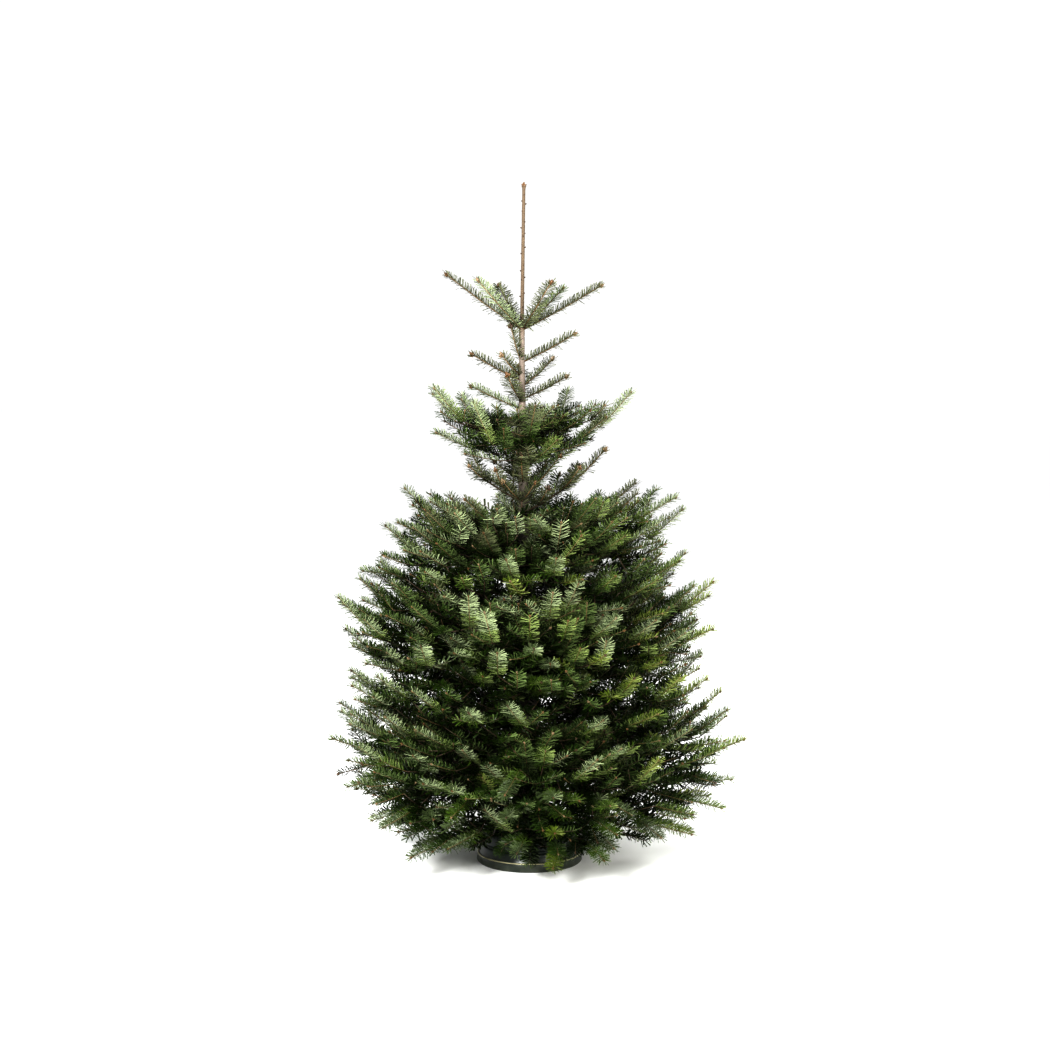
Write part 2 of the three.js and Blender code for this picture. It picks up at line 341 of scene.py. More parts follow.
claw_finish = coated_steel()
for number in range(1, 5):
    claw_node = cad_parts[f"stand_claw_{number}"]
    clear_selection()
    claw_node.select_set(True)
    bpy.context.view_layer.objects.active = claw_node
    bpy.ops.object.duplicate()
    claw = bpy.context.object
    claw.name = claw.data.name = f"stand_claw_lever_{number}"
    claw.parent = None
    bpy.ops.object.mode_set(mode="EDIT")
    bpy.ops.mesh.select_all(action="SELECT")
    bpy.ops.mesh.remove_doubles(threshold=1e-5)
    bpy.ops.mesh.dissolve_limited(angle_limit=math.radians(2))
    bpy.ops.mesh.select_all(action="DESELECT")
    bpy.ops.object.mode_set(mode="OBJECT")
    for face in claw.data.polygons:
        face.select = face.area > FLANK_AREA and abs(face.normal.z) < 0.02
    bpy.ops.object.mode_set(mode="EDIT")
    bpy.ops.mesh.select_mode(type="FACE")
    bpy.ops.mesh.inset(thickness=0.0022, depth=-0.0025)
    bpy.ops.object.mode_set(mode="OBJECT")
    finish_edges(claw, 0.0007)
    claw.data.materials.clear()
    claw.data.materials.append(claw_finish)
    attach(claw, "root")
    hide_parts(f"stand_claw_{number}")


# ---- Trunk --------------------------------------------------------------------------------
# One straight stem of fir wood. Low down its bark is dark grey brown, cracked and blistered
# with resin; higher up it is smooth, pale and pinkish, and the leader is bare tan.
YOUNG_WOOD = 1.16
LEADER = 1.53
RING_GAP = 2e-4


def node_points(name):
    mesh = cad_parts[name].data
    co = np.zeros(len(mesh.vertices) * 3, np.float32)
    mesh.vertices.foreach_get("co", co)
    return co.reshape(-1, 3).astype(float)


trunk_points = node_points("trunk")
trunk_heights = np.unique(np.round(trunk_points[:, 2], 4))


def trunk_rings():
    """Height, centre and radius of each ring of the trunk's solid."""
    rings = []
    for height in trunk_heights:
        at = trunk_points[np.abs(trunk_points[:, 2] - height) < RING_GAP]
        if len(at) < 6:
            continue
        centre = (at[:, :2].max(0) + at[:, :2].min(0)) / 2
        rings.append((height, *centre, np.linalg.norm(at[:, :2] - centre, axis=1).max()))
    return np.array(rings)


rings = trunk_rings()


def trunk_at(height):
    """Centre and radius of the trunk at a height."""
    x, y, radius = (float(np.interp(height, rings[:, 0], rings[:, i])) for i in (1, 2, 3))
    return np.array((x, y, height)), radius


def rows(v):
    """Each row of an array made one long."""
    return v / np.maximum(np.linalg.norm(v, axis=1, keepdims=True), 1e-9)


def mesh_of(name, corners, triangles, slots, materials, smooth=False):
    """One object from arrays of corners, triangles and the material of each triangle."""
    mesh = bpy.data.meshes.new(name)
    mesh.vertices.add(len(corners))
    mesh.vertices.foreach_set("co", np.asarray(corners, np.float32).ravel())
    mesh.loops.add(triangles.size)
    mesh.loops.foreach_set("vertex_index", triangles.astype(np.int32).ravel())
    mesh.polygons.add(len(triangles))
    mesh.polygons.foreach_set("loop_start", np.arange(0, triangles.size, 3, dtype=np.int32))
    for material in materials:
        mesh.materials.append(material)
    mesh.polygons.foreach_set("material_index", slots.astype(np.int32))
    mesh.polygons.foreach_set("use_smooth", np.full(len(triangles), smooth))
    mesh.update(calc_edges=True)
    piece = bpy.data.objects.new(name, mesh)
    bpy.context.scene.collection.objects.link(piece)
    return piece


def tube(centres, sides, ring_of):
    """Corners and triangles of a closed tube through the centres, which run upwards or
    outwards; ring_of(i, angles) gives the offsets of ring i."""
    angles = np.arange(sides) / sides * 2 * np.pi
    corners = np.concatenate([centre + ring_of(i, angles) for i, centre in enumerate(centres)])
    row = np.arange(len(centres) - 1)[:, None] * sides
    a = row + np.arange(sides)
    b = row + (np.arange(sides) + 1) % sides
    walls = np.stack((np.stack((a, b, b + sides), 2), np.stack((a, b + sides, a + sides), 2)), 2)
    last = (len(centres) - 1) * sides
    fan = np.arange(1, sides - 1)
    foot = np.stack((np.zeros_like(fan), fan + 1, fan), 1)
    head = np.stack((np.full_like(fan, last), last + fan, last + fan + 1), 1)
    return corners, np.concatenate((walls.reshape(-1, 3), foot, head))


def crumple(place, scale, octaves=4):
    """Signed noise at a place, about -1 to 1."""
    return mathnoise.fractal(Vector(place) * scale, 0.6, 2.1, octaves)


def fir_bark():
    material, shader = new_material("fir bark, cracked below and smooth above")
    place = object_place(material)
    high = height_in(place)
    grain = noise(stretched(place, (60.0, 60.0, 18.0)), 2.0, 5.0, 0.65)
    cloud = noise(place, 24.0, 3.0)
    rings_of_scars = noise(stretched(place, (14.0, 14.0, 260.0)), 1.0, 3.0, 0.6)
    old = grain.blend((0.03, 0.025, 0.02), (0.11, 0.09, 0.068))
    young = (0.55 * cloud + 0.45 * rings_of_scars).blend((0.085, 0.068, 0.055), (0.27, 0.225, 0.19))
    leader = (grain * 0.5 + rings_of_scars * 0.5).blend((0.032, 0.022, 0.014), (0.185, 0.135, 0.085))
    to_young = ((high - YOUNG_WOOD) * 7.0 + 0.4 * (cloud - 0.5)).clamp()
    to_leader = ((high - LEADER) * 24.0).clamp()
    colour = to_leader.blend(to_young.blend(old, young), leader)
    feed(
        shader, material,
        Base_Color=colour,
        Roughness=0.62 + 0.3 * grain,
        Normal=bump(0.6 * grain + 0.4 * rings_of_scars, 0.5, 0.0012),
    )
    return material


bark = fir_bark()
trunk_low, trunk_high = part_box("trunk")
leader_foot = LEADER + 0.01
heights = np.concatenate(
    (
        np.arange(trunk_low.z, leader_foot, 0.0065),
        np.arange(leader_foot, trunk_high.z - 0.012, 0.005),
    )
)
centres = np.array([trunk_at(height)[0] for height in heights])


def trunk_ring(i, angles):
    height = heights[i]
    radius = trunk_at(height)[1]
    rough = np.interp(height, (0.3, 1.2, 1.3, 1.55), (1.0, 0.7, 0.35, 0.16))
    around = np.stack((np.cos(angles), np.sin(angles), np.zeros_like(angles)), 1)
    relief = []
    for x, y, _ in around:
        cracks = abs(crumple((x * 0.9, y * 0.9, height * 5.0), 2.6))
        blisters = max(0.0, crumple((x * 2, y * 2, height * 30.0 + 7), 1.3) - 0.25)
        relief.append(0.0011 * blisters * 2.2 - 0.0017 * (1 - min(1.0, cracks * 3.2)))
    flat_foot = 0 if i == 0 else 1
    return around * (radius - 0.0004 + rough * flat_foot * np.array(relief))[:, None]


corners, triangles = tube(centres, 40, trunk_ring)
trunk = mesh_of("trunk_bark", corners, triangles, np.zeros(len(triangles)), [bark], smooth=True)
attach(trunk, "root")
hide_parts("trunk")


# ---- Growth -------------------------------------------------------------------------------
# A fir adds one length to every limb each year. At the end of a year's length the limb forks
# into two flat side limbs and goes on, so its age gives the number of its forks, and last
# year's shoots are single. Every limb grows on from the trunk or from a bough, and stops at
# the outline of its own mass of foliage.
random = np.random.default_rng(20)
UP = np.array((0.0, 0.0, 1.0))
LOWEST = 0.012
CROWDING = 0.046
MOST_SHOOTS = 9000
FREE = 9.0


def unit(v):
    return v / max(np.linalg.norm(v), 1e-9)


def heading_of(azimuth, rise):
    a, r = math.radians(azimuth), math.radians(rise)
    return np.array((math.cos(a) * math.cos(r), math.sin(a) * math.cos(r), math.sin(r)))


def turned_about(v, axis, degrees):
    a = math.radians(degrees)
    return (
        v * math.cos(a) + np.cross(axis, v) * math.sin(a) + axis * (axis @ v) * (1 - math.cos(a))
    )


def raised(heading, degrees):
    """The heading with its climb changed by so many degrees."""
    level = unit(np.array((heading[0], heading[1], 0.0)))
    climb = math.asin(max(-1.0, min(1.0, heading[2]))) + math.radians(degrees)
    climb = max(math.radians(-60), min(math.radians(78), climb))
    return level * math.cos(climb) + UP * math.sin(climb)


class Mass:
    """The room that one mass of foliage leaves for the limbs that grow in it."""

    def __init__(self, name, lift):
        self.name, self.lift = name, lift
        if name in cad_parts:
            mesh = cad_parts[name].data
            self.tree = BVHTree.FromPolygons(
                [v.co[:] for v in mesh.vertices], [p.vertices[:] for p in mesh.polygons]
            )
        else:
            self.tree = None

    def room(self, start, heading):
        """How far it is along the heading to where it last leaves the mass."""
        if self.tree is None:
            return 1.0
        far = gone = 0.0
        point, way = Vector(start), Vector(heading)
        for _ in range(8):
            hit, _normal, _face, distance = self.tree.ray_cast(point, way)
            if hit is None:
                break
            gone += distance + 1e-4
            far = gone
            point = hit + way * 1e-4
        return far

    def span(self, place):
        """The mass's lowest and highest points on the upright line through a place."""
        low = self.tree.ray_cast(Vector((place[0], place[1], -1)), Vector((0, 0, 1)))[0]
        high = self.tree.ray_cast(Vector((place[0], place[1], 3)), Vector((0, 0, -1)))[0]
        return None if low is None or high is None else (low.z, high.z)


class Limb:
    """One year's length of a limb: a gentle curve with its age, order and mass."""

    def __init__(self, start, bend, end, age, order, mass):
        self.start, self.bend, self.end = start, bend, end
        self.age, self.order, self.mass = age, order, mass
        self.leads = False
        self.thick = 0.0012 + 0.0009 * (age - 1) ** 1.15 * 0.85 ** order
        if mass == "top":
            self.thick *= 1.8

    def length(self):
        return np.linalg.norm(self.bend - self.start) + np.linalg.norm(self.end - self.bend)


limbs = []
middles = np.full((MOST_SHOOTS, 3), FREE)


def crowded(place, spacing):
    """Whether a shoot's middle is already nearer to the place than the spacing."""
    return np.linalg.norm(middles - place, axis=1).min() < spacing


def keep_place(place):
    """Takes a place, so that no other shoot comes too near to it."""
    middles[np.argmax(middles[:, 0] == FREE)] = place


def add_shoot(start, heading, length, order, mass, lift=18.0):
    """A single shoot of last year, unless another is already in its place."""
    spare = random.uniform(-0.03, 0.005) + 0.03 * abs(heading[2])
    length = min(length, mass.room(start, heading) + spare)
    bend = start + heading * length * 0.5
    end = bend + raised(heading, lift) * length * 0.5
    end[2] = max(end[2], LOWEST + 0.004)
    if length < 0.036 or crowded(bend, CROWDING):
        return
    keep_place(bend)
    limbs.append(Limb(start, bend, end, 1, order, mass.name))


def fork_normal(heading, roll):
    """The normal of the flat fork that a limb makes, rolled about its heading."""
    side = unit(np.cross(heading, UP))
    return turned_about(np.cross(side, heading), heading, roll)


def grow(start, heading, length, years, order, mass, roll=0.0):
    """A limb and all that grows on it: order is 0 on the trunk's bough and 3 at the last fork."""
    shares = random.uniform(0.85, 1.15, years)
    shares[-1] *= 1.4
    shares *= length / shares.sum()
    left = length
    for step, age in zip(shares, range(years, 0, -1)):
        if age == 1:
            add_shoot(start, heading, step, order, mass)
            break
        onward = turned_about(
            raised(heading, mass.lift + random.normal(0, 2)), UP, random.normal(0, 3)
        )
        bend = start + heading * step * 0.5
        end = bend + onward * step * 0.5
        end[2] = max(end[2], LOWEST + 0.01)
        limbs.append(Limb(start, bend, end, age, order, mass.name))
        left -= step
        heading = onward
        normal = fork_normal(heading, roll)
        for side in (-1, 1):
            if order == 3:
                continue
            way = turned_about(heading, normal, side * random.normal(50, 5))
            way = raised(way, random.normal(4, 4))
            reach = max(left, 0.08) * random.uniform(0.58, 0.8)
            reach = min(reach, mass.room(end, way) - 0.02)
            if reach > 0.04:
                side_years = int(min(age - 1, max(1, round(reach / 0.1))))
                grow(end, way, reach, side_years, order + 1, mass, roll + random.normal(0, 9))
        if random.random() < 0.8:
            # A weaker bud on the upper side of the fork makes one more upright shoot.
            way = raised(turned_about(heading, normal, random.uniform(-40, 40)), 38)
            add_shoot(end, way, random.uniform(0.06, 0.11), order + 1, mass, 6)
        if random.random() < 0.4:
            way = raised(turned_about(heading, normal, random.uniform(-40, 40)), -32)
            add_shoot(end, way, random.uniform(0.06, 0.1), order + 1, mass, 12)
        for _ in range(2):
            # Single shoots also leave the sides of older wood between its forks.
            root = start + (end - start) * random.uniform(0.3, 0.85)
            way = turned_about(heading, normal, random.choice((-1, 1)) * random.normal(56, 8))
            add_shoot(root, raised(way, random.normal(14, 10)), random.uniform(0.06, 0.11),
                      order + 1, mass)
        start = end


# For each tier: limbs to a mass, their years, the years of the bough that enters the mass,
# how far a limb lifts in a year, and the rise of its lowest and of its highest limbs.
TIER_HABIT = {
    "tier2": (5, 2, 3, 10.0, 8.0, 36.0),
    "tier3": (8, 3, 4, 10.0, 6.0, 34.0),
    "tier4": (10, 3, 4, 9.0, -2.0, 30.0),
    "tier5": (12, 3, 5, 6.0, -28.0, 24.0),
}
REACH_SHARES = (1.0, 0.62, 0.84)
RIM_LIMBS = 4
mass_names = sorted(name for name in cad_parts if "_mass_" in name)


def place_in(mass, points, slack):
    """A random place in a mass: its middle line, its way outwards, its level from 0 to 1 and
    the distance to the outline; none where the upright line misses the mass."""
    place = random.uniform(points.min(0), points.max(0))
    span = mass.span(place)
    if span is None:
        return None
    level = math.sin(random.random() * math.pi / 2) ** 2
    place[2] = span[0] - slack + level * (span[1] - span[0] + 2 * slack)
    centre, _ = trunk_at(place[2])
    side = unit(place - centre)
    return place, centre, side, level, mass.room(centre, side)


# The shoots that lead at the outline stand well apart, climb outwards into the light and are
# the longest. Their places are kept for them before anything else grows.
LEADER_SPACING = 0.098
LEADER_ROUNDS = 260
JOINT_LEADER_TRIES = 3000
leaders = {name: [] for name in mass_names + ["inside"]}
for _ in range(LEADER_ROUNDS):
    for name in mass_names:
        *_, lift, low_rise, high_rise = TIER_HABIT[name.split("_")[0]]
        mass = Mass(name, lift)
        found = place_in(mass, node_points(name), 0.0)
        if found is None:
            continue
        _, centre, side, level, edge = found
        place = centre + side * (edge - random.uniform(0.03, 0.05))
        if edge > 0.2 and not crowded(place, LEADER_SPACING):
            keep_place(place)
            rise = low_rise + level ** 0.6 * (high_rise - low_rise) + random.normal(8, 6)
            heading = raised(turned_about(side, UP, random.normal(0, 14)), rise)
            leaders[name].append((place, heading))

# The joints between the tiers are closed by limbs of their own, out to the crown's outline,
# which is given as heights and the reach at each.
CROWN_OUTLINE = (
    (0.10, 0.30, 0.50, 0.62, 0.75, 0.85, 0.95, 1.04),
    (0.42, 0.53, 0.52, 0.515, 0.49, 0.46, 0.40, 0.29),
)
for _ in range(JOINT_LEADER_TRIES):
    height = random.uniform(0.3, 1.03)
    side = heading_of(random.uniform(0, 360), 0)
    place = trunk_at(height)[0] + side * (np.interp(height, *CROWN_OUTLINE) - 0.045)
    if not crowded(place, LEADER_SPACING):
        keep_place(place)
        heading = raised(turned_about(side, UP, random.normal(0, 14)), random.normal(26, 8))
        leaders["inside"].append((place, heading))


bough_ends = {}
for name in mass_names:
    count, years, bough_years, lift, low_rise, high_rise = TIER_HABIT[name.split("_")[0]]
    mass = Mass(name, lift)
    bough = node_points(name.replace("mass", "bough"))
    whorl, _ = trunk_at(bough[:, 2].mean())
    points = node_points(name)
    outwards = unit((points.mean(0) - whorl) * (1, 1, 0))
    sideways = np.cross(UP, outwards)
    distances = (points - whorl) @ outwards
    reach = distances.max()
    half_sector = np.degrees(np.abs(np.arctan2((points - whorl) @ sideways, distances)).max())
    bough_end = bough[np.argsort((bough - whorl) @ outwards)[-6:]].mean(0)
    bough_ends[name] = bough_end
    far_tip = points[distances.argmax()]
    heading = unit(far_tip - bough_end)
    length = mass.room(bough_end, heading)
    grow(bough_end, raised(heading, -lift * (bough_years - 1) / 2), length, bough_years, 0, mass)
    for i in range(count + RIM_LIMBS):
        level = (i + random.uniform(0.2, 0.8)) / count
        swing = ((i * 0.618 + 0.31) % 1 * 2 - 1) * 0.8 * half_sector
        share = REACH_SHARES[i % len(REACH_SHARES)]
        if i >= count:
            # The limbs round the upper rim reach furthest and stand out of the crown.
            level = random.uniform(0.86, 0.99)
            swing = ((i - count + 0.5) / RIM_LIMBS * 2 - 1) * 0.9 * half_sector
            share = random.uniform(1.06, 1.2)
        side = turned_about(outwards, UP, swing)
        distance = reach * 0.78 * share
        span = mass.span(whorl + side * distance)
        inner_span = mass.span(whorl + side * (distances.min() + 0.035))
        if span is None or inner_span is None:
            continue
        aim = whorl + side * distance
        aim[2] = span[0] + (0.04 + 0.92 * level) * (span[1] - span[0])
        rise = math.radians(low_rise + level * (high_rise - low_rise))
        height = aim[2] - distance * math.tan(rise)
        height = float(np.clip(height, inner_span[0], inner_span[1]))
        centre, radius = trunk_at(height)
        start = centre + side * radius * 0.7
        heading = unit(aim - start)
        length = min(mass.room(start, heading), distance * 1.3) * random.uniform(0.94, 1.0)
        if length > 0.1:
            grow(start, raised(heading, -lift * (years - 1) / 2), length, years, 1, mass,
                 random.uniform(-28, 28))


# Buds that the regular growth leaves asleep wake where there is still light: a limb sets out
# from the nearest older wood towards each gap in the outer part of the mass.
FILL_SPACING = 0.047
JOINT_SPACING = 0.054
FILL_TRIES = 2200
JOINT_TRIES = 4600
masses = {}


def wake(wood, aim, heading, length, mass, leads):
    """A forked end of one shoot through the aim and two beside it, on a limb from old wood."""
    fork = aim - heading * length / 2
    roots = np.array(wood)
    gaps = fork - roots
    far = np.linalg.norm(gaps, axis=1)
    outward = (gaps @ unit(heading * (1, 1, 0))) / far
    climb = gaps[:, 2] / far
    fit = (outward > 0.45) & (climb > -0.7) & (climb < 0.8) & (far > 0.03)
    if not fit.any():
        return
    root = roots[np.argmin(np.where(fit, far * (1.6 - 0.6 * outward), FREE))]
    bend = (root + fork) / 2 - UP * 0.05 * np.linalg.norm(fork - root)
    age = 2 if np.linalg.norm(fork - root) < 0.16 else 3
    limbs.append(Limb(root, bend, fork, age, 2, mass.name))
    wood.append(fork)
    if leads:
        tip = aim + raised(heading, 6) * length / 2
        tip[2] = max(tip[2], LOWEST)
        limbs.append(Limb(fork, aim, tip, 1, 3, mass.name))
        limbs[-1].leads = True
    else:
        add_shoot(fork, heading, length, 3, mass, 8)
    normal = fork_normal(heading, random.uniform(-25, 25))
    for hand in (-1, 1):
        way = raised(turned_about(heading, normal, hand * random.normal(50, 6)), -4)
        add_shoot(fork, way, length * random.uniform(0.5, 0.75), 3, mass)


for name in mass_names:
    *_, lift, low_rise, high_rise = TIER_HABIT[name.split("_")[0]]
    mass = Mass(name, lift)
    points = node_points(name)
    wood = [limb.end for limb in limbs if limb.mass == name and limb.age > 1]
    lowest, highest = points[:, 2].min(), points[:, 2].max()
    wood += [trunk_at(height)[0] for height in np.arange(lowest, highest, 0.02)]
    for aim, heading in leaders[name]:
        wake(wood, aim, heading, random.uniform(0.115, 0.15), mass, True)
    for _ in range(FILL_TRIES):
        found = place_in(mass, points, 0.01)
        if found is None:
            continue
        aim, centre, side, level, edge = found
        out = np.linalg.norm(aim - centre)
        if 0.5 * edge < out < edge - 0.055 and not crowded(aim, FILL_SPACING):
            rise = low_rise + level * (high_rise - low_rise) + random.normal(6, 9)
            heading = raised(turned_about(side, UP, random.normal(0, 20)), rise)
            wake(wood, aim, heading, random.uniform(0.08, 0.12), mass, False)
    masses[name] = mass

inside = Mass("inside", 5.0)
wood = [limb.end for limb in limbs if limb.age > 1]
wood += [trunk_at(height)[0] for height in np.arange(0.26, 1.02, 0.02)]
for azimuth in (204, 232, 252, 271, 289, 308, 330):
    # The lowest ones hang over the shoulder of the stand.
    heading = heading_of(azimuth + random.normal(0, 12), -27)
    aim = trunk_at(0.2)[0] + heading_of(azimuth, 0) * random.uniform(0.185, 0.215)
    aim[2] = random.uniform(0.078, 0.112)
    wake(wood, aim, heading, 0.12, inside, True)
for aim, heading in leaders["inside"]:
    wake(wood, aim, heading, random.uniform(0.115, 0.15), inside, True)
for _ in range(JOINT_TRIES):
    height = random.uniform(0.28, 1.03)
    side = heading_of(random.uniform(0, 360), 0)
    reach = np.interp(height, *CROWN_OUTLINE) * math.sqrt(random.uniform(0.06, 0.85))
    aim = trunk_at(height)[0] + side * reach
    if not crowded(aim, JOINT_SPACING):
        heading = raised(turned_about(side, UP, random.normal(0, 20)), random.normal(20, 10))
        wake(wood, aim, heading, random.uniform(0.08, 0.11), inside, False)


# ---- Top shoots ---------------------------------------------------------------------------
# The last whorl and the shoots below it are a year old and unbranched: straight tan twigs
# that lift a little at the tip. A few more stand between the whorls, the lower ones forked.
shoot_names = sorted(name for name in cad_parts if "_shoot_" in name)
top = Mass("top", 8.0)
for name in shoot_names:
    points = node_points(name)
    middle = points.mean(0)
    _, _, ways = np.linalg.svd(points - middle)
    axis = ways[0] if ways[0][2] > 0 else -ways[0]
    along = (points - middle) @ axis
    start = middle + axis * along.min()
    tip = middle + axis * (along.max() - 0.006)
    centre, radius = trunk_at(start[2])
    foot = centre + unit((start - centre) * (1, 1, 0)) * radius * 0.6
    limbs.append(Limb(foot, (foot + tip) / 2 - UP * 0.006, tip, 1, 1, "top"))

# Height on the trunk, azimuth, rise, length and years of the shoots between the whorls.
BETWEEN_WHORLS = [
    (1.462, 200, 68, 0.105, 1),
    (1.424, 216, 32, 0.085, 1),
    (1.396, 28, 30, 0.120, 1),
    (1.346, 252, 22, 0.150, 1),
    (1.370, 95, 30, 0.130, 1),
    (1.060, 172, 25, 0.260, 2),
    (1.030, 8, 27, 0.290, 2),
    (1.110, 265, 42, 0.110, 1),
    (1.090, 205, 34, 0.150, 1),
    (1.085, 335, 36, 0.150, 1),
    (1.070, 100, 30, 0.240, 2),
    (1.050, 60, 32, 0.200, 2),
    (1.055, 140, 32, 0.200, 2),
    (1.000, 262, 46, 0.200, 2),
    (1.075, 284, 48, 0.130, 1),
    (1.035, 246, 44, 0.130, 1),
    (1.130, 300, 62, 0.100, 1),
    (1.150, 230, 60, 0.100, 1),
    (1.120, 170, 58, 0.100, 1),
    (1.160, 20, 60, 0.100, 1),
    (1.105, 350, 56, 0.090, 1),
    (1.140, 110, 60, 0.100, 1),
]
for height, azimuth, rise, length, years in BETWEEN_WHORLS:
    centre, radius = trunk_at(height)
    heading = heading_of(azimuth, rise)
    start = centre + heading * (1, 1, 0) * radius * 0.7
    grow(start, heading, length, years, 2, top)


# ---- Boughs -------------------------------------------------------------------------------
# One thick limb runs from each whorl into each mass. Its bark is the trunk's.
def bough_tube(centres, radii):
    ways = rows(np.gradient(centres, axis=0))
    side = rows(np.cross(ways, UP))
    up = np.cross(side, ways)

    def ring(i, angles):
        rough = [0.12 * crumple((math.cos(a), math.sin(a), i * 0.7), 1.7) for a in angles]
        return (
            side[i] * np.cos(angles)[:, None] + up[i] * np.sin(angles)[:, None]
        ) * (radii[i] * (1 + np.array(rough)))[:, None]

    return tube(centres, 10, ring)


def joined(parts):
    """One set of arrays from many (corners, triangles, slot)."""
    firsts = np.cumsum([0] + [len(part[0]) for part in parts[:-1]])
    return (
        np.concatenate([part[0] for part in parts]),
        np.concatenate([part[1] + first for part, first in zip(parts, firsts)]),
        np.concatenate([np.full(len(part[1]), part[2]) for part in parts]),
    )


parts = []
for name, end in bough_ends.items():
    bough = node_points(name.replace("mass", "bough"))
    whorl, radius = trunk_at(bough[:, 2].mean())
    outwards = unit((end - whorl) * (1, 1, 0))
    distances = (bough - whorl) @ outwards
    line = []
    for distance in np.linspace(distances.min(), distances.max(), 4):
        near = bough[np.abs(distances - distance) < 0.012]
        line.append(near.mean(0) if len(near) else line[-1])
    line = np.array([whorl + (line[0] - whorl) * 0.4] + line)
    t = np.linspace(0, len(line) - 1, 12)
    centres = np.stack([np.interp(t, np.arange(len(line)), line[:, k]) for k in range(3)], 1)
    near_foot = bough[distances < distances.min() + 0.01]
    foot_radius = (near_foot[:, 2].max() - near_foot[:, 2].min()) / 2
    radii = np.linspace(foot_radius * 1.05, foot_radius * 0.7, len(t))
    parts.append((*bough_tube(centres, radii), 0))
boughs = mesh_of("bough_bark", *joined(parts), [bark], smooth=True)
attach(boughs, "root")
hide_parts(*(name.replace("mass", "bough") for name in mass_names))


# ---- Twigs --------------------------------------------------------------------------------
# Last year's wood is orange tan at the outline and brown behind it, the brown there being painted
# shade, and older wood is dark.
# Every year's length is a tapering round stick, thicker than the one that grows on from it.
TWIG_COLOURS = (
    ("tan new twig", (0.145, 0.090, 0.040)),
    ("brown twig", (0.055, 0.034, 0.018)),
    ("dark old twig", (0.026, 0.020, 0.014)),
)
twig_materials = [new_material(name, colour, 0.62)[0] for name, colour in TWIG_COLOURS]


def along_curve(limb, t):
    """Places on a limb's curve and the ways it runs there."""
    t = t[:, None]
    place = (1 - t) ** 2 * limb.start + 2 * t * (1 - t) * limb.bend + t ** 2 * limb.end
    way = 2 * (1 - t) * (limb.bend - limb.start) + 2 * t * (limb.end - limb.bend)
    return place, rows(way)


def stick(limb, sides):
    """A closed tapering stick along a limb."""
    t = np.linspace(0, 1, 3)
    place, way = along_curve(limb, t)
    side = rows(np.cross(way, UP))
    up = np.cross(side, way)
    thick = limb.thick * (1 - 0.28 * t)
    return tube(
        place, sides,
        lambda i, angles: (
            side[i] * np.cos(angles)[:, None] + up[i] * np.sin(angles)[:, None]
        ) * thick[i],
    )


def depth_of(limb):
    """How far a limb's end is behind the outline of its mass, outwards or outwards and up."""
    centre, _ = trunk_at(limb.end[2])
    if limb.mass == "inside":
        edge = np.interp(limb.end[2], *CROWN_OUTLINE)
        return max(0.0, edge - np.linalg.norm(limb.end - centre))
    mass = masses.get(limb.mass)
    if mass is None:
        return 0.0
    out = unit((limb.end - centre) * (1, 1, 0))
    return min(mass.room(limb.end, out), mass.room(limb.end, unit(out + 0.7 * UP)))


depths = {limb: depth_of(limb) for limb in limbs}
IN_THE_LIGHT = 0.04


def wood_colour(limb):
    if limb.age > 1:
        return min(limb.age, 3) - 1
    # Painted shade: last year's twigs behind the outline get the brown of older wood.
    return 0 if depths[limb] < IN_THE_LIGHT else 1


tiers = sorted({name.split("_")[0] for name in mass_names}) + ["inside", "top"]
for tier in tiers:
    mine = [limb for limb in limbs if limb.mass.split("_")[0] == tier]
    parts = [(*stick(limb, 4 if limb.age == 1 else 5), wood_colour(limb)) for limb in mine]
    piece = mesh_of(f"{tier}_twigs", *joined(parts), twig_materials, smooth=True)
    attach(piece, "root")


# ---- Needles ------------------------------------------------------------------------------
# Flat blunt needles, about 25 mm long, glossy dark green above and silvery green below. They
# stand round the upper side of the twig, lean forwards, and part to both sides below it.
# Each is one closed sliver with a slight twist, its upper faces green and its lower pale.
NEEDLE_LENGTH = 0.028
# Sprays behind the outline of their mass have fewer and wider needles, to stop the light: the
# first of each pair holds as far in as the outer depth, and the second from the inner one.
OUTER_DEPTH, INNER_DEPTH = 0.035, 0.12
NEEDLE_WIDTHS = (0.0021, 0.0064)
# By the age of the limb, which loses its needles as it gets older.
NEEDLES_PER_METRE = {1: (900, 200), 2: (400, 150), 3: (200, 90), 4: (60, 60), 5: (0, 0)}
# The shoots that lead are the densest: their needles to the metre, and the width of each.
LEADER_NEEDLES = (1600, 0.0018)

SPRAY_COLOURS = [
    # Name, upper side, lower side and sheen.
    # The darkest greens, with dark undersides, are painted shade on sprays deep behind the outline;
    # the oldest sprays get them too.
    ("dark", (0.005, 0.012, 0.001), (0.016, 0.026, 0.006), 0.06),
    ("deep", (0.018, 0.036, 0.004), (0.100, 0.138, 0.050), 0.16),
    # Silver, fresh and yellow are the pale greens of new growth and silvery undersides, made paler
    # still as painted highlight, and dealt to the outer sprays.
    ("silver", (0.058, 0.080, 0.032), (0.254, 0.297, 0.174), 0.3),
    ("fresh", (0.046, 0.078, 0.009), (0.185, 0.232, 0.085), 0.25),
    ("yellow", (0.078, 0.108, 0.012), (0.215, 0.255, 0.080), 0.25),
    ("olive", (0.030, 0.037, 0.012), (0.116, 0.128, 0.068), 0.2),
]


def needle_materials():
    made = []
    for name, upper, lower, sheen in SPRAY_COLOURS:
        for side, colour, roughness in (("upper", upper, 0.36), ("lower", lower, 0.55)):
            material, shader = new_material(f"{name} needle, {side} side", colour, roughness)
            shader.inputs["Specular IOR Level"].default_value = sheen
            made.append(material)
    return made


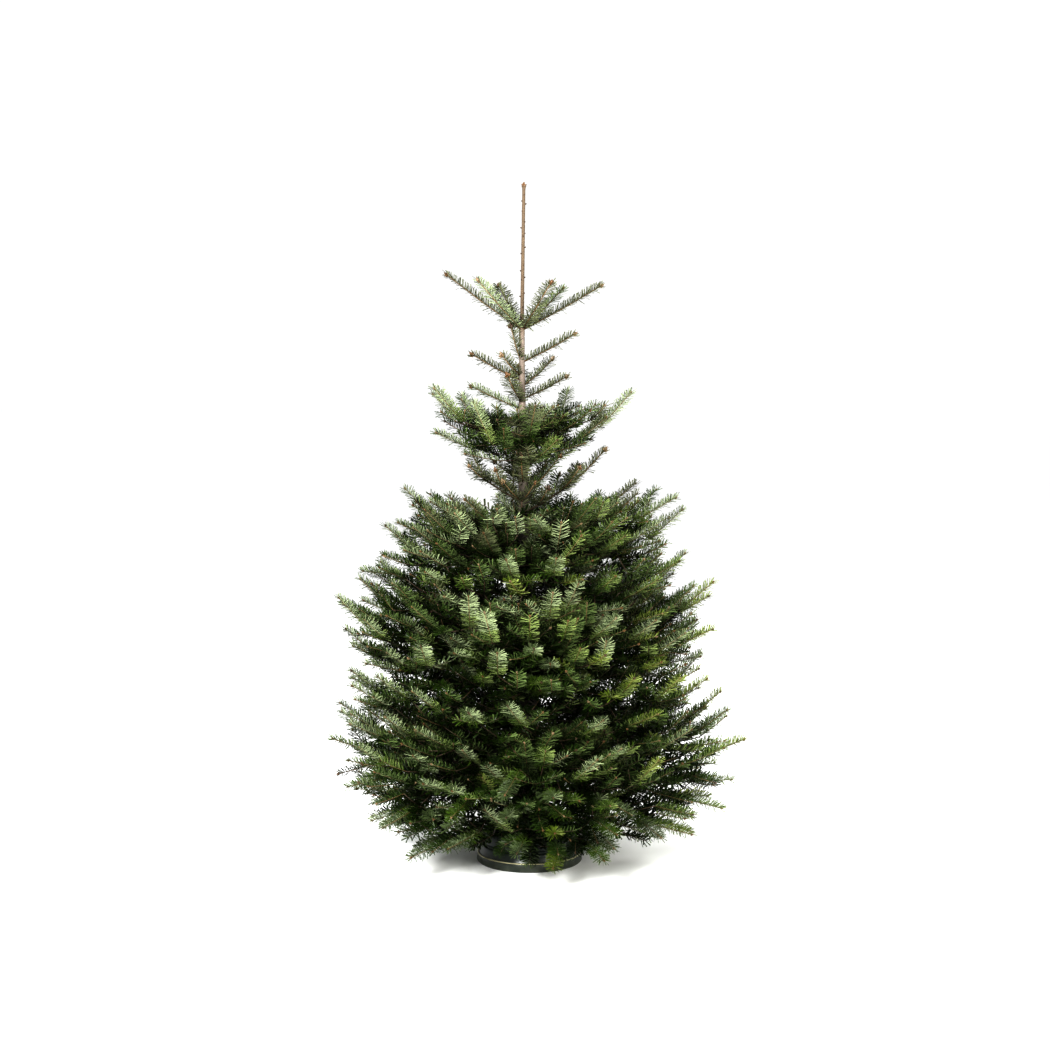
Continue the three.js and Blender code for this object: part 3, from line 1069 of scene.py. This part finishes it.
def needles_on(limb, depth):
    """The corners of a limb's needles, four to each, and how far along the limb each stands."""
    share = min(1.0, max(0.0, (depth - OUTER_DEPTH) / (INNER_DEPTH - OUTER_DEPTH)))
    outer, inner = NEEDLES_PER_METRE[limb.age]
    per_metre = outer + (inner - outer) * share
    width = NEEDLE_WIDTHS[0] + (NEEDLE_WIDTHS[1] - NEEDLE_WIDTHS[0]) * share
    if limb.leads:
        per_metre, width = LEADER_NEEDLES
    elif limb.mass == "top":
        per_metre *= 1.4
    count = int(limb.length() * per_metre * random.uniform(0.9, 1.1))
    if count < 1:
        return np.zeros((0, 4, 3)), np.zeros(0)
    t = (np.arange(count) + random.uniform(0, 1, count)) / count
    t = 0.03 + 0.97 * t
    place, axis = along_curve(limb, t)
    side = rows(np.cross(axis, UP))
    up = np.cross(side, axis)
    turn = (np.arange(count) * 137.508 + random.normal(0, 9, count) + 180) % 360 - 180
    folds = (np.abs(turn) > 110) & (random.random(count) < 0.85) & (t < 0.96)
    folded = np.sign(turn) * (110 - 0.6 * (np.abs(turn) - 110))
    turn = np.radians(np.where(folds, folded, turn))
    across = np.abs(np.sin(turn))
    at_tip = np.clip((t - 0.86) / 0.14, 0, 1)
    lean = np.radians((54 + 16 * across + random.normal(0, 6, count)) * (1 - 0.55 * at_tip))
    radial = up * np.cos(turn)[:, None] + side * np.sin(turn)[:, None]
    way = rows(axis * np.cos(lean)[:, None] + radial * np.sin(lean)[:, None])
    long = NEEDLE_LENGTH * (0.72 + 0.28 * across) * random.uniform(0.82, 1.08, count)
    long *= (1 - 0.2 * (t < 0.12)) * (1 - 0.22 * at_tip)
    inwards = rows(axis - (axis * way).sum(1, keepdims=True) * way)
    above = rows(up - (up * way).sum(1, keepdims=True) * way)
    face = rows(inwards * np.abs(np.cos(turn))[:, None] + above * (0.35 + across)[:, None])
    wide = np.cross(way, face)
    tilt = np.radians(random.normal(0, 24, count))[:, None]
    wide, face = wide * np.cos(tilt) + face * np.sin(tilt), face * np.cos(tilt) - wide * np.sin(tilt)
    twist = np.radians(random.uniform(14, 34, count))[:, None]
    tip_wide = wide * np.cos(twist) + face * np.sin(twist)
    root = place + radial * limb.thick * 0.8
    half = width / 2
    tip = root + way * long[:, None]
    corners = np.stack(
        (root - wide * half * 0.8, root + wide * half * 0.8, tip + tip_wide * half,
         tip - tip_wide * half), axis=1,
    )
    corners[..., 2] = np.maximum(corners[..., 2], 0.003)
    return corners, t


NEEDLE_FACES = np.array(((0, 1, 2), (0, 2, 3), (1, 0, 3), (1, 3, 2)))
needle_finishes = needle_materials()
# For each spray colour, the darker one that its leading shoots have near their foot, as painted
# shade.
SHADED_FOOT_COLOURS = (0, 1, 3, 1, 3, 1)


def spray_colour(limb, depth):
    """Which pair of greens a spray has: by its age and chance, with painted shade (the darkest
    greens) on sprays deep behind the outline and painted light (paler, yellower greens) on the right
    side of the tree.
    """
    if limb.age >= 3:
        return 0
    # Painted light: the further right a spray stands, the likelier its greens are the paler,
    # yellower ones.
    painted_light_side = 0.5 + 0.5 * math.tanh((limb.end[0] - 0.05) / 0.16)
    high = min(1.0, max(0.0, (limb.end[2] - 0.75) / 0.5))
    # Painted shade: the deeper a spray lies behind the outline, the likelier its greens are the
    # darkest.
    painted_shade = min(1.0, max(0.0, (depth - 0.03) / 0.10))
    weights = np.array((
        0.15 + 1.6 * painted_shade,
        0.50,
        (0.24 + 0.08 * high - 0.20 * painted_light_side) * (1 - painted_shade),
        (0.05 + 0.20 * painted_light_side) * (1 - 0.65 * painted_shade),
        0.09 * painted_light_side * (1 - high) * (1 - painted_shade),
        0.12 * high,
    ))
    if limb.leads:
        weights = np.array((
            0, 0.08, 0.7 - 0.48 * painted_light_side, (0.10 + 0.22 * painted_light_side) * (1 - 0.7 * high),
            0.16 * painted_light_side * (1 - high), 0.2 * high,
        ))
    if limb.mass == "top":
        weights = np.array((0.0, 0.12, 0.04, 0.0, 0.0, 0.84))
    if limb.age == 2:
        weights *= (4.0, 1.4, 0.15, 0.4, 0.1, 1.0)
    return int(random.choice(len(SPRAY_COLOURS), p=weights / weights.sum()))


for name in mass_names + ["inside", "top"]:
    corners, slots = [], []
    for limb in limbs:
        if limb.mass != name:
            continue
        made, t = needles_on(limb, depths[limb])
        colour = spray_colour(limb, depths[limb])
        corners.append(made)
        # A leading shoot is greener towards its foot, where the sprays beside it shade it.
        shaded = limb.leads & (t < random.normal(0.42, 0.1, len(t)))
        slots.append(np.where(shaded, SHADED_FOOT_COLOURS[colour], colour))
    corners = np.concatenate(corners)
    slots = np.concatenate(slots)
    triangles = (np.arange(len(corners))[:, None, None] * 4 + NEEDLE_FACES).reshape(-1, 3)
    pairs = np.stack((slots * 2, slots * 2, slots * 2 + 1, slots * 2 + 1), axis=1).ravel()
    piece_name = name.replace("mass", "needles") if "mass" in name else f"{name}_needles"
    piece = mesh_of(piece_name, corners.reshape(-1, 3), triangles, pairs, needle_finishes)
    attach(piece, "root")
    if name != "inside":
        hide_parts(*(shoot_names if name == "top" else [name]))


# ---- Buds ---------------------------------------------------------------------------------
# Last year's shoots end in a knot of blunt, resin-coated buds: one in the middle and two or
# three set round it. Only those near the outline are made, where they show. The leader carries
# more, and scattered ones down its length.
BUD_DEPTH = 0.045
bud_materials = [
    new_material(name, colour, 0.45)[0]
    for name, colour in (
        ("orange brown bud", (0.125, 0.070, 0.030)),
        ("pale resin bud", (0.190, 0.135, 0.080)),
        ("dark bud", (0.070, 0.044, 0.026)),
    )
]
BUD_FACES = np.array(
    ((0, 2, 1), (0, 3, 2), (0, 4, 3), (0, 1, 4), (5, 1, 2), (5, 2, 3), (5, 3, 4), (5, 4, 1))
)


def across_of(way):
    return unit(np.cross(way, UP + np.array((0.01, 0.02, 0.0))))


def bud(place, way, length, radius):
    side = across_of(way)
    up = np.cross(side, way)
    waist = place + way * length * 0.42
    corners = [place - way * length * 0.15]
    corners += [waist + v * radius for v in (side, up, -side, -up)]
    corners.append(place + way * length)
    return np.array(corners)


def bud_knot(end, way, size, number):
    kind = random.choice(3, p=(0.45, 0.35, 0.2))
    knot = [(bud(end, way, 0.0068 * size, 0.0025 * size), BUD_FACES, kind)]
    flat = across_of(way)
    for i in range(number):
        hinge = turned_about(flat, way, i * 360 / number + 40)
        lean = turned_about(way, hinge, 46)
        knot.append((bud(end - way * 0.002, lean, 0.0058 * size, 0.0021 * size), BUD_FACES, kind))
    return knot


for tier in tiers:
    parts = []
    for limb in limbs:
        if limb.mass.split("_")[0] == tier and limb.age == 1 and depths[limb] < BUD_DEPTH:
            size = random.uniform(0.85, 1.2) * (2.2 if tier == "top" else 1.0)
            parts += bud_knot(limb.end, unit(limb.end - limb.bend), size, random.integers(2, 4))
    if tier == "top":
        crown_centre, _ = trunk_at(trunk_high.z - 0.014)
        parts += bud_knot(crown_centre, unit(np.array((0.05, -0.05, 1.0))), 1.9, 5)
        for i, height in enumerate(np.arange(1.585, 1.95, 0.0155)):
            centre, radius = trunk_at(height + random.uniform(-0.005, 0.005))
            way = heading_of(i * 137.5, 35)
            parts.append((bud(centre + way * (1, 1, 0) * radius, way, 0.0062, 0.0021),
                          BUD_FACES, 2))
    piece = mesh_of(f"{tier}_buds", *joined(parts), bud_materials)
    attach(piece, "root")


# ---- Floor, light and camera --------------------------------------------------------------
# A plain pale floor, soft light from all round and above, and a camera at chest height about
# five metres off, looking slightly down.
clear_selection()
bpy.ops.mesh.primitive_plane_add(size=400, location=(0, 0, 0))
floor = bpy.context.object
floor.name = "floor"
floor_material, floor_shader = new_material("pale floor", (0.96, 0.96, 0.965), 1.0)
floor_shader.inputs["Specular IOR Level"].default_value = 0.0
floor.data.materials.append(floor_material)

scene = bpy.context.scene
world = bpy.data.worlds.new("soft white room")
world.use_nodes = True
world.node_tree.nodes["Background"].inputs["Color"].default_value = (1, 1, 1, 1)
world.node_tree.nodes["Background"].inputs["Strength"].default_value = 1.06
scene.world = world
scene.view_settings.view_transform = "Standard"
scene.view_settings.gamma = 0.66


def soft_light(name, place, aim, size, power, colour=(1, 1, 1)):
    clear_selection()
    bpy.ops.object.light_add(type="AREA", location=place)
    light = bpy.context.object
    light.name = name
    light.data.shape = "DISK"
    light.data.size = size
    light.data.energy = power
    light.data.color = colour
    light.rotation_euler = (Vector(aim) - Vector(place)).to_track_quat("-Z", "Y").to_euler()


soft_light("key", (-1.7, -4.4, 2.5), (0, 0, 0.9), 1.1, 555)
soft_light("fill", (2.8, -3.9, 1.5), (0, 0, 0.8), 1.4, 205, (1.0, 0.98, 0.93))
soft_light("back", (2.6, 3.6, 2.8), (0, 0, 0.9), 1.8, 120)

camera_aim = Vector((-0.013, 0, 0.99))
camera_place = Vector((-0.013, -5.0, 1.36))
bpy.ops.object.camera_add(location=camera_place)
camera = bpy.context.object
camera.data.lens = 59.0
camera.rotation_euler = (camera_aim - camera_place).to_track_quat("-Z", "Y").to_euler()
scene.camera = camera
